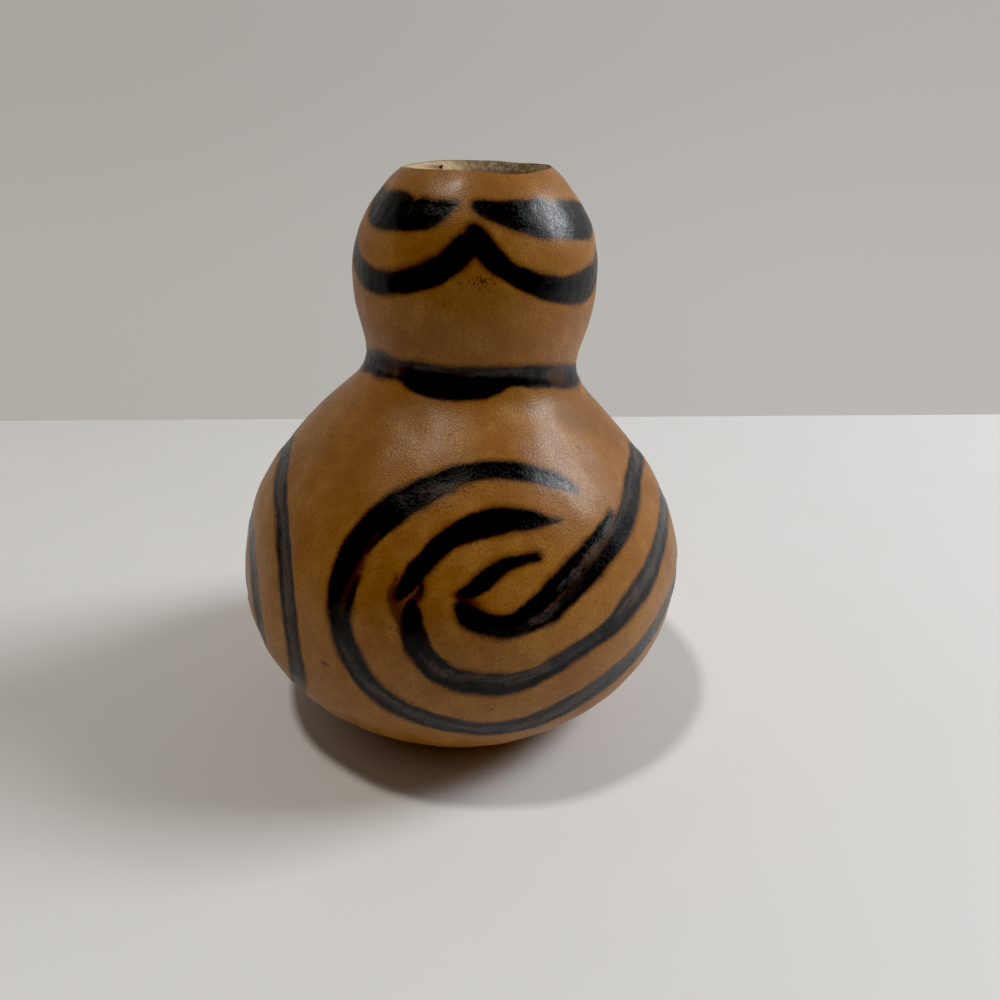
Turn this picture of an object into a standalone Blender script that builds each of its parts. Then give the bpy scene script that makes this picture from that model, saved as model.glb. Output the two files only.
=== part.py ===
# Decorated gourd: a dried bottle gourd, sawn open at the top and scraped out to a hollow vase.
# It grew as one piece, so it is one solid: a shell with a round belly, a waist, a small upper
# bulb and an open mouth. Metres, +Z up. It stands on a flat face at the origin, with the
# belly's centre line on the Z axis and the neck leaning a little to +X.

from math import atan2, cos, radians, sin

import bpy
import numpy as np

NAME = "gourd"

# Driving sizes
FLAT_RADIUS = 0.0190  # the flat it stands on
BELLY_RADIUS = 0.0576
BELLY_HEIGHT = 0.0404
WAIST_RADIUS = 0.0263
WAIST_HEIGHT = 0.0945
BULB_RADIUS = 0.0290
BULB_HEIGHT = 0.1115
RIM_RADIUS = 0.0172
RIM_HEIGHT = 0.1366
WALL = 0.0042  # shell thickness in the belly
RIM_WALL = 0.0026  # shell thickness where the top was sawn off

# The outer skin as (radius, height), from the flat up to the dome that was sawn away
OUTLINE = (
    (FLAT_RADIUS, 0.0),
    (0.0316, 0.0024),
    (0.0450, 0.0095),
    (0.0535, 0.0203),
    (BELLY_RADIUS, BELLY_HEIGHT),
    (0.0536, 0.0575),
    (0.0487, 0.0660),
    (0.0417, 0.0746),
    (0.0334, 0.0830),
    (0.0275, 0.0895),
    (WAIST_RADIUS, WAIST_HEIGHT),
    (0.0277, 0.1010),
    (BULB_RADIUS, BULB_HEIGHT),
    (0.0276, 0.1221),
    (0.0239, 0.1295),
    (RIM_RADIUS, RIM_HEIGHT),
    (0.0121, 0.1396),
)
DOME_FOOT = 0.1180  # above this height the rings follow the sawn edge

# The gourd grew a little crooked: the neck sits towards +X, its rings tip down on that side,
# and the underside bulges towards -X
LEAN = 0.0043
LEAN_START = 0.0580
LEAN_END = 0.1090
RING_TILT = radians(3.4)
TILT_HEIGHT = 0.0835
TILT_SPREAD = 0.0200
SAG = 0.0004
SAG_START = 0.0080
SAG_END = 0.0380

# The belly is a touch wider along one diagonal than along the other
OVAL = 0.004
OVAL_ANGLE = radians(45.0)

# The saw cut tips forwards (down at -Y) and wanders: (degrees round the rim, height) pairs
CUT_TIP = 0.0016
CUT_WANDER = (
    (0.0, 0.0002),
    (90.0, 0.0003),
    (180.0, 0.0003),
    (225.0, 0.0006),
    (250.0, 0.0006),
    (275.0, 0.0001),
    (300.0, -0.0004),
    (325.0, -0.0001),
)
MOUTH_SHIFT = 0.0024  # the hole lies nearer the +X side, so the wall is thicker at -X

# How finely the solid is divided
TURN_STEPS = 56
OUTER_RINGS = 44
INNER_RINGS = 30
CURVE_SAMPLES = 1200
BEND_LENGTH = 0.012  # rings crowd together where the outline turns in less than this


def smooth_step(value, start, end):
    """Rise from 0 at start to 1 at end, level at both."""
    share = np.clip((value - start) / (end - start), 0.0, 1.0)
    return share * share * (3.0 - 2.0 * share)


def smooth_curve(points, samples):
    """Sample the natural cubic curve through the points, evenly along their chords."""
    points = np.array(points)
    chords = np.linalg.norm(np.diff(points, axis=0), axis=1)
    knots = np.concatenate([[0.0], np.cumsum(chords)])
    count = len(points)
    matrix = np.eye(count)
    pull = np.zeros_like(points)
    for i in range(1, count - 1):
        before, after = chords[i - 1], chords[i]
        matrix[i, i - 1:i + 2] = before, 2.0 * (before + after), after
        slope_change = (points[i + 1] - points[i]) / after - (points[i] - points[i - 1]) / before
        pull[i] = 6.0 * slope_change
    bends = np.linalg.solve(matrix, pull)
    along = np.linspace(0.0, knots[-1], samples)
    span = np.clip(np.searchsorted(knots, along, side="right") - 1, 0, count - 2)
    width = chords[span][:, None]
    right = ((along - knots[span]) / chords[span])[:, None]
    left = 1.0 - right
    straight = left * points[span] + right * points[span + 1]
    curved = (left ** 3 - left) * bends[span] + (right ** 3 - right) * bends[span + 1]
    return straight + curved * width ** 2 / 6.0


def inward_normals(curve):
    """Unit directions from the skin into the wall, for a curve that climbs the outer side."""
    tangent = np.gradient(curve, axis=0)
    normal = np.stack([-tangent[:, 1], tangent[:, 0]], axis=1)
    return normal / np.linalg.norm(normal, axis=1)[:, None]


def cut_at_rim(curve):
    """Keep the part of a climbing curve that is below the rim, ending exactly on it."""
    last = int(np.argmax(curve[:, 1] >= RIM_HEIGHT))
    share = (RIM_HEIGHT - curve[last - 1, 1]) / (curve[last, 1] - curve[last - 1, 1])
    end = curve[last - 1] + share * (curve[last] - curve[last - 1])
    return np.vstack([curve[:last], end])


def place_rings(curve, count):
    """Pick count points on a curve, closer together where it bends."""
    steps = np.diff(curve, axis=0)
    lengths = np.linalg.norm(steps, axis=1)
    heading = np.unwrap(np.arctan2(steps[:, 1], steps[:, 0]))
    turn = np.abs(np.gradient(heading))
    effort = np.concatenate([[0.0], np.cumsum(lengths + BEND_LENGTH * turn)])
    stops = np.linspace(0.0, effort[-1], count)
    return np.stack([np.interp(stops, effort, curve[:, axis]) for axis in (0, 1)], axis=1)


def shell_profile():
    """Half of the shell's section: up the inside from the floor, over the rim, down to the base."""
    skin = smooth_curve(OUTLINE, CURVE_SAMPLES)
    thinning = smooth_step(skin[:, 1], BULB_HEIGHT, RIM_HEIGHT)
    wall = WALL + (RIM_WALL - WALL) * thinning
    lining = skin + inward_normals(skin) * wall[:, None]
    lining[0] = FLAT_RADIUS, WALL
    outer = place_rings(cut_at_rim(skin), OUTER_RINGS)
    inner = place_rings(cut_at_rim(lining), INNER_RINGS)
    floor_centre = [(0.0, WALL)]
    base_centre = [(0.0, 0.0)]
    return np.vstack([floor_centre, inner, outer[::-1], base_centre]), skin


def turn_profile(profile):
    """Turn the section round the Z axis with a Screw modifier and return the closed mesh."""
    outline = bpy.data.meshes.new("gourd_section")
    corners = [(radius, 0.0, height) for radius, height in profile]
    edges = [(i, i + 1) for i in range(len(corners) - 1)]
    outline.from_pydata(corners, edges, [])
    section = bpy.data.objects.new("gourd_section", outline)
    bpy.context.scene.collection.objects.link(section)
    screw = section.modifiers.new("turn", "SCREW")
    screw.axis = "Z"
    screw.angle = radians(360.0)
    screw.steps = TURN_STEPS
    screw.render_steps = TURN_STEPS
    screw.use_merge_vertices = True
    screw.merge_threshold = 0.00001
    screw.use_smooth_shade = True
    depsgraph = bpy.context.evaluated_depsgraph_get()
    mesh = bpy.data.meshes.new_from_object(section.evaluated_get(depsgraph))
    bpy.data.objects.remove(section)
    bpy.data.meshes.remove(outline)
    return mesh


def cut_height(angle):
    """Height of the sawn edge at an angle round the rim."""
    degrees = np.degrees(angle) % 360.0
    stops = [stop for stop, _ in CUT_WANDER] + [360.0]
    heights = [height for _, height in CUT_WANDER] + [CUT_WANDER[0][1]]
    i = int(np.searchsorted(stops, degrees, side="right")) - 1
    wander = heights[i] + (heights[i + 1] - heights[i]) * smooth_step(degrees, stops[i], stops[i + 1])
    return RIM_HEIGHT + CUT_TIP * sin(angle) + wander


def shape_by_hand(mesh, skin):
    """Turn the true round form into the grown one: sawn edge, oval belly and leaning neck."""
    dome = skin[skin[:, 1] > BULB_HEIGHT]

    def skin_radius(height):
        return np.interp(height, dome[:, 1], dome[:, 0])

    for vertex in mesh.vertices:
        x, y, z = vertex.co
        radius = (x * x + y * y) ** 0.5
        angle = atan2(y, x)
        if z > DOME_FOOT:
            depth = skin_radius(z) - radius
            climb = (z - DOME_FOOT) / (RIM_HEIGHT - DOME_FOOT)
            z = DOME_FOOT + climb * (cut_height(angle) - DOME_FOOT)
            radius = skin_radius(z) - depth
            inside = float(depth > RIM_WALL / 2.0)
            x_shift = inside * MOUTH_SHIFT * smooth_step(climb, 0.0, 1.0)
        else:
            x_shift = 0.0
        radius *= 1.0 + OVAL * cos(2.0 * (angle - OVAL_ANGLE))
        x = radius * cos(angle) + x_shift
        y = radius * sin(angle)
        tilt = RING_TILT * np.exp(-(((z - TILT_HEIGHT) / TILT_SPREAD) ** 2))
        lean = LEAN * smooth_step(z, LEAN_START, LEAN_END)
        sag = SAG * (1.0 - smooth_step(z, SAG_START, SAG_END))
        vertex.co = (x + lean - sag, y, z - x * tilt)


def gourd_shell():
    """Plain Principled stand-in for the burnt-orange waxed skin."""
    material = bpy.data.materials.new("gourd_shell")
    material.use_nodes = True
    shader = material.node_tree.nodes["Principled BSDF"]
    shader.inputs["Base Color"].default_value = (0.42, 0.17, 0.05, 1.0)
    shader.inputs["Roughness"].default_value = 0.42
    shader.inputs["Metallic"].default_value = 0.0
    return material


def build():
    for leftover in list(bpy.context.scene.objects):
        bpy.data.objects.remove(leftover)
    collection = bpy.data.collections.new("decorated_gourd")
    bpy.context.scene.collection.children.link(collection)
    profile, skin = shell_profile()
    mesh = turn_profile(profile)
    mesh.name = NAME
    shape_by_hand(mesh, skin)
    mesh.materials.append(gourd_shell())
    mesh.shade_smooth()
    mesh.set_sharp_from_angle(angle=radians(50.0))
    gourd = bpy.data.objects.new(NAME, mesh)
    collection.objects.link(gourd)


build()
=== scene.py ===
# %% [markdown]
# # A bottle gourd with burnt lines
# The real object is one dried bottle gourd. Its top was sawn off, the pith was scraped out,
# the skin was rubbed with wax, and a hot iron drew black lines all over it. This lesson makes
# the gourd as one closed mesh from its outline, lays the burnt lines on it as brush strokes,
# and gives the skin, the sawn edge and the inside a finish of their own.
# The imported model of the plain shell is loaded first, so that the finer one sits exactly there.

# %% Load the plain shell
from math import radians

import bpy
import numpy as np
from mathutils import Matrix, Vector
from mathutils.bvhtree import BVHTree


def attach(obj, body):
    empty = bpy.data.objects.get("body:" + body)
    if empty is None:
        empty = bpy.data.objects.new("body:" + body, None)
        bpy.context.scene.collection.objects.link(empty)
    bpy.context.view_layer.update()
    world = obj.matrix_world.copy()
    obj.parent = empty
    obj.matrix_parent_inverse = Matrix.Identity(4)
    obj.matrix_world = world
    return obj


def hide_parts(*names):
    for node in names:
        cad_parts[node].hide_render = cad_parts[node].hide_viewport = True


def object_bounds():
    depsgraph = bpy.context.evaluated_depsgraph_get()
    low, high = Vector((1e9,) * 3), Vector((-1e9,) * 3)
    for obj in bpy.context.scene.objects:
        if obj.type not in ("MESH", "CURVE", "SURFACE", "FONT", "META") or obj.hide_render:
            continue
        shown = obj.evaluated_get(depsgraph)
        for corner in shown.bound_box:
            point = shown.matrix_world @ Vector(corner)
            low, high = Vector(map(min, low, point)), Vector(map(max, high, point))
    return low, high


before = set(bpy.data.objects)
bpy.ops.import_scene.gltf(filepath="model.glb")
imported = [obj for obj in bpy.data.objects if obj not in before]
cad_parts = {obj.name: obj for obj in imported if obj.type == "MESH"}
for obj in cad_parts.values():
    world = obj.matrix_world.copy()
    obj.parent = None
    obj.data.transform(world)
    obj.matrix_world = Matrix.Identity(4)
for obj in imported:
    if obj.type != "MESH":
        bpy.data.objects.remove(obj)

MM = 0.001  # this script draws in millimetres and hands metres to Blender
NODE = "gourd"
CAD_BOX = [list(corner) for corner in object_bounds()]
print("plain shell, mm:", [[round(value / MM, 1) for value in corner] for corner in CAD_BOX])

# %% [markdown]
# ## The outline
# A gourd could be sculpted, or turned like a pot from half of its outline. Turning is the
# better start, because the eye reads a gourd first by its silhouette, and an outline of a few
# points is easy to correct. A natural cubic curve through the points keeps the curvature
# smooth, so highlights glide over the skin without kinks.

# %% Outline of skin and lining
FLAT_RADIUS = 19.0
RIM_RADIUS, RIM_HEIGHT = 17.2, 136.6
OUTLINE = (
    (FLAT_RADIUS, 0.0), (31.6, 2.4), (45.0, 9.5), (53.5, 20.3), (57.6, 40.4), (53.6, 57.5),
    (48.7, 66.0), (41.7, 74.6), (33.4, 83.0), (27.5, 89.5), (26.3, 94.5), (27.7, 101.0),
    (29.0, 111.5), (27.6, 122.1), (23.9, 129.5), (RIM_RADIUS, RIM_HEIGHT), (12.1, 139.6),
)
WALL, RIM_WALL = 4.2, 2.6
BULB_HEIGHT = 111.5


def ease(value, start, end):
    """Rise from 0 at start to 1 at end, level at both."""
    share = np.clip((value - start) / (end - start), 0.0, 1.0)
    return share * share * (3.0 - 2.0 * share)


def smooth_curve(points, samples):
    """Sample the natural cubic curve through the points, evenly along their chords."""
    points = np.array(points, float)
    chords = np.linalg.norm(np.diff(points, axis=0), axis=1)
    knots = np.concatenate([[0.0], np.cumsum(chords)])
    count = len(points)
    matrix = np.eye(count)
    pull = np.zeros_like(points)
    for i in range(1, count - 1):
        before, after = chords[i - 1], chords[i]
        matrix[i, i - 1:i + 2] = before, 2.0 * (before + after), after
        slope_change = (points[i + 1] - points[i]) / after - (points[i] - points[i - 1]) / before
        pull[i] = 6.0 * slope_change
    bends = np.linalg.solve(matrix, pull)
    along = np.linspace(0.0, knots[-1], samples)
    span = np.clip(np.searchsorted(knots, along, side="right") - 1, 0, count - 2)
    width = chords[span][:, None]
    right = ((along - knots[span]) / chords[span])[:, None]
    left = 1.0 - right
    straight = left * points[span] + right * points[span + 1]
    curved = (left ** 3 - left) * bends[span] + (right ** 3 - right) * bends[span + 1]
    return straight + curved * width ** 2 / 6.0


def inward_normals(curve):
    """Unit directions from the skin into the wall."""
    tangent = np.gradient(curve, axis=0)
    normal = np.stack([-tangent[:, 1], tangent[:, 0]], axis=1)
    return normal / np.linalg.norm(normal, axis=1)[:, None]


def cut_at_rim(curve):
    """Keep the part of a climbing curve below the rim, ending exactly on it."""
    last = int(np.argmax(curve[:, 1] >= RIM_HEIGHT))
    share = (RIM_HEIGHT - curve[last - 1, 1]) / (curve[last, 1] - curve[last - 1, 1])
    return np.vstack([curve[:last], curve[last - 1] + share * (curve[last] - curve[last - 1])])


skin_curve = smooth_curve(OUTLINE, 1200)
wall = WALL + (RIM_WALL - WALL) * ease(skin_curve[:, 1], BULB_HEIGHT, RIM_HEIGHT)
lining_curve = skin_curve + inward_normals(skin_curve) * wall[:, None]
lining_curve[0] = FLAT_RADIUS, WALL
dome = skin_curve[skin_curve[:, 1] > BULB_HEIGHT]
print("widest:", round(skin_curve[:, 0].max(), 1), "mm radius; hole:",
      round(cut_at_rim(lining_curve)[-1, 0], 1), "mm radius")

# %% [markdown]
# ## Growing crooked
# No gourd is truly round. On this one the neck sits to the right of the belly, the rings round
# the waist tip with it, the belly is a little oval and the saw cut slopes forwards. One
# function moves any point of the turned shape to its grown place. The mesh and the burnt
# lines both use it, so the lines always lie on the skin.

# %% The grown shape
DOME_FOOT = 118.0
LEAN, LEAN_START, LEAN_END = 4.3, 58.0, 109.0
RING_TILT, TILT_HEIGHT, TILT_SPREAD = radians(3.4), 83.5, 20.0
SAG, SAG_START, SAG_END = 0.4, 8.0, 38.0
OVAL, OVAL_ANGLE = 0.004, radians(45.0)
CUT_TIP = 1.6
CUT_WANDER = ((0.0, 0.2), (90.0, 0.3), (180.0, 0.3), (225.0, 0.6), (250.0, 0.6),
              (275.0, 0.1), (300.0, -0.4), (325.0, -0.1))
MOUTH_SHIFT = 2.4


def cut_height(angle):
    """Height of the sawn edge at angles round the rim."""
    degrees = np.degrees(angle) % 360.0
    stops = np.array([stop for stop, _ in CUT_WANDER] + [360.0])
    heights = np.array([height for _, height in CUT_WANDER] + [CUT_WANDER[0][1]])
    i = np.searchsorted(stops, degrees, side="right") - 1
    wander = heights[i] + (heights[i + 1] - heights[i]) * ease(degrees, stops[i], stops[i + 1])
    return RIM_HEIGHT + CUT_TIP * np.sin(angle) + wander


def dome_radius(height):
    """Radius of the skin at heights on the dome."""
    return np.interp(height, dome[:, 1], dome[:, 0])


def grow(radius, angle, height, inside):
    """Move points of the turned shape to their grown places. inside is 0 on the skin, 1 within."""
    climb = np.clip((height - DOME_FOOT) / (RIM_HEIGHT - DOME_FOOT), 0.0, None)
    lifted = DOME_FOOT + climb * (cut_height(angle) - DOME_FOOT)
    z = np.where(height > DOME_FOOT, lifted, height)
    radius = radius + np.where(height > DOME_FOOT, dome_radius(z) - dome_radius(height), 0.0)
    radius = radius * (1.0 + OVAL * np.cos(2.0 * (angle - OVAL_ANGLE)))
    x = radius * np.cos(angle) + inside * MOUTH_SHIFT * ease(climb, 0.0, 1.0)
    y = radius * np.sin(angle)
    tilt = RING_TILT * np.exp(-(((z - TILT_HEIGHT) / TILT_SPREAD) ** 2))
    lean = LEAN * ease(z, LEAN_START, LEAN_END) - SAG * (1.0 - ease(z, SAG_START, SAG_END))
    return np.stack([x + lean, y, z - x * tilt], axis=-1)


# %% [markdown]
# ## Rings of the mesh
# The mesh is a stack of rings: the flat underneath, the skin, the sawn edge and the lining.
# Rings could be spaced evenly, but the waist and the foot turn in a few millimetres, so the
# rings crowd together where the outline bends.

# %% Place the rings
TURNS = 384  # points in each ring
FLAT_RINGS, SKIN_RINGS, EDGE_RINGS, LINING_RINGS, FLOOR_RINGS = 10, 178, 7, 34, 4
BEND_LENGTH = 12.0
SEAM_ANGLE = radians(90.0)  # rings start at the back
LIP_TRIM, LIP_START, LIP_END = 0.85, 1.5, 6.0  # a knife took the hole's lip nearly upright
FLAT_DIP, BEVEL_DIP = 0.25, 3.0  # how far the cut drops towards the hole: on the left, elsewhere
LEDGE = 1.2  # extra width of the flat part of the cut, at the left
FLAT_TURN = radians(9.0)  # the flat part lies this far round from -X towards the front
NOTCHES = (124.0, 31.0)  # degrees round the cut, where the saw tore small nicks
NOTCH_WIDTH, NOTCH_DEPTH, NOTCH_MIDDLE, NOTCH_LENGTH = 0.28, 0.12, 0.3, 0.2


def place_rings(curve, count):
    """Pick count points on a curve, closer together where it bends."""
    steps = np.diff(curve, axis=0)
    heading = np.unwrap(np.arctan2(steps[:, 1], steps[:, 0]))
    effort = np.linalg.norm(steps, axis=1) + BEND_LENGTH * np.abs(np.gradient(heading))
    effort = np.concatenate([[0.0], np.cumsum(effort)])
    stops = np.linspace(0.0, effort[-1], count)
    return np.stack([np.interp(stops, effort, curve[:, axis]) for axis in (0, 1)], axis=1)


def run(start, end, count):
    """count points from start towards end, leaving end out."""
    return np.array(start) + np.linspace(0.0, 1.0, count, endpoint=False)[:, None] * (
        np.array(end) - np.array(start))


skin_rings = place_rings(cut_at_rim(skin_curve), SKIN_RINGS)
lining_rings = place_rings(cut_at_rim(lining_curve), LINING_RINGS)[::-1]
flat_rings = run((0.8, 0.0), (FLAT_RADIUS, 0.0), FLAT_RINGS)
edge_rings = run(skin_rings[-1], lining_rings[0], EDGE_RINGS + 1)[1:]
floor_rings = run((FLAT_RADIUS, WALL), (0.8, WALL), FLOOR_RINGS + 1)[1:]
rings = np.vstack([flat_rings, skin_rings, edge_rings, lining_rings, floor_rings])
across_wall = np.concatenate([
    np.zeros(FLAT_RINGS + SKIN_RINGS),
    np.linspace(0.0, 1.0, EDGE_RINGS + 2)[1:-1],
    np.ones(LINING_RINGS + FLOOR_RINGS),
])
SKIN_END = FLAT_RINGS + SKIN_RINGS  # rings below this one are outside
EDGE_END = SKIN_END + EDGE_RINGS
angles = SEAM_ANGLE + np.linspace(0.0, 2.0 * np.pi, TURNS, endpoint=False)
below_rim = RIM_HEIGHT - rings[:, 1]
trim = LIP_TRIM * below_rim * (1.0 - ease(below_rim, LIP_START, LIP_END)) * (across_wall == 1.0)
near_rim = 1.0 - ease(below_rim, 0.0, LIP_END)
rings = rings - np.stack([trim, np.zeros_like(trim)], axis=1)
angle_grid, radius_grid = np.meshgrid(angles, rings[:, 0])
height_grid = np.repeat(rings[:, 1][:, None], TURNS, axis=1)
inside_grid = np.repeat(across_wall[:, None], TURNS, axis=1)
flat_part = ease(-np.cos(angles - FLAT_TURN), 0.84, 0.93)  # 1 where the cut stayed flat
worn = (across_wall * near_rim)[:, None]
radius_grid = radius_grid - LEDGE * worn * flat_part
height_grid = height_grid - worn ** 1.2 * (BEVEL_DIP + (FLAT_DIP - BEVEL_DIP) * flat_part)
places = grow(radius_grid, angle_grid, height_grid, inside_grid)
print("rings:", len(rings), "points:", places.shape[0] * places.shape[1])

# %% [markdown]
# ## Burnt lines as brush strokes
# A hot iron is drawn over the skin like a wide felt pen, and where it lifts, the line thins
# and turns brown. Lines could be painted into a picture, but strokes keep the drawing
# editable: each is a few points of (degrees round the gourd, height, width), where -90 degrees
# is the front. Long lines are several strokes laid over each other, as a hand draws them.

# %% The front swirl
FRONT_SWIRL = {
    "outer_top": ((-57.4, 71.9, 0.8), (-61, 73.4, 2.6), (-66.5, 75.0, 3.6), (-75, 76.4, 4.0),
                  (-91, 76.3, 4.1), (-104, 72.8, 4.5), (-113.6, 66.4, 5.4), (-117.8, 57.6, 5.1),
                  (-118.6, 50.5, 4.2), (-117.9, 44.7, 1.6)),
    "outer_lap": ((-93.5, 73.8, 0.5), (-98.4, 72.7, 1.8), (-104, 70.6, 3.0), (-111.5, 65.9, 4.0),
                  (-115.4, 60.2, 2.0)),
    "outer_foot": ((-113.8, 57.4, 0.6), (-115.4, 53.0, 2.4), (-117.0, 46.4, 4.4),
                   (-115.6, 41.8, 5.2), (-111.4, 33.6, 5.4), (-103.6, 27.2, 5.1),
                   (-94, 23.4, 4.8), (-84, 21.0, 5.2), (-75, 20.8, 6.0), (-66, 22.6, 6.6),
                   (-57, 25.4, 6.6), (-48, 29.4, 6.0), (-39, 32.8, 5.8), (-30, 36.0, 5.6),
                   (-24, 38.0, 5.0)),
    "middle_top": ((-65, 67.1, 0.3), (-68.6, 67.4, 1.5), (-72, 67.8, 3.5), (-77, 68.2, 4.7),
                   (-83, 68.1, 5.4), (-88, 67.3, 5.1), (-93.6, 65.4, 4.4), (-98.2, 62.0, 4.1),
                   (-101.2, 58.8, 3.8), (-103.0, 56.2, 3.2), (-104.2, 54.6, 1.8)),
    "middle_foot": ((-101.4, 54.2, 0.6), (-101.3, 50.9, 4.0), (-100.7, 46.6, 5.2), (-98.2, 41.6, 5.1),
                    (-94.4, 37.9, 5.2), (-87.2, 35.4, 5.5), (-79.6, 34.8, 5.1), (-72, 36.7, 4.5),
                    (-64, 39.7, 4.3), (-57, 41.9, 4.8), (-50, 45.3, 5.8), (-42, 48.7, 6.2),
                    (-34, 52.6, 5.8), (-26, 55.8, 5.2), (-18, 57.8, 4.8), (-10, 58.8, 4.6)),
    "middle_sliver": ((-99.2, 57.4, 0.4), (-99.6, 55.6, 0.9), (-100.2, 53.6, 0.4)),
    "hook": ((-73.0, 61.2, 1.8), (-75, 61.2, 2.1), (-77.4, 60.9, 2.2), (-80.4, 60.5, 2.6),
             (-83.2, 59.3, 3.4), (-86.2, 57.4, 3.7), (-89.0, 55.8, 3.0), (-90.8, 55.2, 1.8)),
    "tail_inner": ((-90.8, 52.8, 2.4), (-89.4, 51.2, 4.0), (-86.6, 49.6, 4.7), (-82, 48.5, 4.9),
                   (-78, 49.1, 5.4), (-74, 52.0, 4.5), (-68.6, 55.4, 4.2), (-62.4, 58.7, 4.0),
                   (-55, 62.2, 3.5), (-48, 65.6, 1.2)),
    "tail_outer": ((-77, 47.2, 1.4), (-73.6, 48.6, 2.6), (-68, 51.3, 3.1), (-61, 55.0, 3.6),
                   (-53.4, 58.6, 4.0), (-46, 62.1, 4.7), (-38, 65.8, 5.2), (-29, 69.2, 5.2),
                   (-16, 71.2, 5.2), (-2, 71.0, 4.8)),
}
print("front swirl strokes:", len(FRONT_SWIRL))

# %% [markdown]
# ## The far side
# The photograph shows two more line ends at the left edge, bowed towards the front. They are
# the near side of a second swirl. The simplest drawing that joins both is a great S: the
# second swirl is the first one turned half a turn about a point on the right of the gourd, and
# three lines run between them. A hand never repeats itself, so the turned strokes are nudged.

# %% Second swirl and joining lines
TURN_CENTRE = (55.0, 47.0)  # degrees, height: the middle of the S
random = np.random.default_rng(11)


def turned(stroke, spread=0.8):
    """The same stroke half a turn round the middle of the S, drawn a little differently."""
    nudge = random.uniform(-spread, spread, (len(stroke), 2))
    return tuple(
        (2 * TURN_CENTRE[0] - degrees + dx, 2 * TURN_CENTRE[1] - height + dz, width)
        for (degrees, height, width), (dx, dz) in zip(stroke, nudge))


BACK_SWIRL = {
    "over_line": ((134, 53.6, 1.0), (141, 55.0, 4.2), (150, 58.2, 5.0), (160, 62.6, 5.0),
                  (170, 66.8, 4.8), (179, 69.6, 4.4), (187, 70.8, 4.2), (194, 71.0, 4.0),
                  (199, 70.0, 3.4), (204, 68.2, 2.4), (208, 66.4, 1.0)),
    "edge_line": ((192, 71.0, 0.8), (197.6, 70.2, 4.0), (203, 68.8, 5.0), (208, 66.8, 4.8), (212.6, 64.7, 4.5),
                  (217.4, 62.1, 4.3), (220.6, 58.9, 4.4), (223.4, 55.4, 4.6), (226, 50.0, 5.0),
                  (227.7, 43.5, 5.0), (228.0, 36.2, 5.0), (226.2, 28.0, 4.8), (220.6, 20.4, 4.2),
                  (214, 16.5, 3.4), (205, 15.4, 1.2)),
    "edge_lap": ((210, 18.6, 0.8), (202, 17.6, 3.6), (193, 17.2, 4.4), (184, 17.8, 4.2),
                 (176, 19.4, 3.0), (169, 21.8, 0.9)),
    "inner_lap": ((122, 34.4, 1.0), (130.6, 36.2, 4.6), (146, 40.8, 5.0), (161, 46.6, 5.0),
                  (176, 52.4, 4.8), (187, 54.8, 4.2), (195, 55.0, 3.6), (201, 54.0, 2.6),
                  (205, 52.4, 1.0)),
    "inner_line": ((194.5, 54.8, 0.8), (200.8, 54.2, 3.2), (205.4, 52.0, 3.8), (209, 48.5, 4.2),
                   (211.4, 44.4, 4.4), (212.6, 39.7, 4.2), (212.4, 34.4, 3.6), (209, 30.2, 3.6),
                   (202, 27.2, 4.2), (192, 25.6, 4.4), (183, 25.4, 3.4), (174, 27.0, 0.6)),
    "back_hook": turned(FRONT_SWIRL["hook"], 0.15),
    "back_tail": turned(FRONT_SWIRL["tail_inner"], 0.3),
    "back_tail_lap": turned(FRONT_SWIRL["tail_outer"], 0.4),
}
JOINING = {
    "upper_run": ((-8, 71.4, 1.0), (4, 70.9, 4.6), (20, 69.2, 5.0), (38, 65.2, 4.8), (55, 60.4, 4.6),
                  (72, 56.4, 4.8), (92, 54.2, 5.0), (112, 54.0, 5.0), (128, 55.0, 4.6), (140, 56, 1.2)),
    "middle_run": ((-18, 57.8, 1.0), (-6, 59.1, 4.6), (10, 58.8, 5.0), (28, 55.2, 5.0),
                   (46, 49.8, 4.6), (64, 44.0, 4.8), (84, 38.6, 5.0), (104, 35.2, 5.0),
                   (120, 34.6, 4.6), (130, 35.6, 1.0)),
    "lower_run": ((-31, 35.8, 1.2), (-21, 39.0, 4.8), (-6, 41.4, 5.0), (14, 40.4, 5.0),
                  (34, 37.2, 4.6), (55, 33.4, 4.8), (76, 28.6, 5.0), (98, 24.4, 5.2),
                  (116, 23.0, 4.8), (128, 23.4, 1.2)),
}
print("back swirl strokes:", len(BACK_SWIRL), "joining strokes:", len(JOINING))

# %% [markdown]
# ## Swags and the waist band
# Four swags hang round the upper bulb from four peaks. Above each swag the iron was dabbed
# into a broad dark patch. The waist band is a ring drawn in pieces, and it turns brown where
# one piece ends and the next begins.

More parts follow.
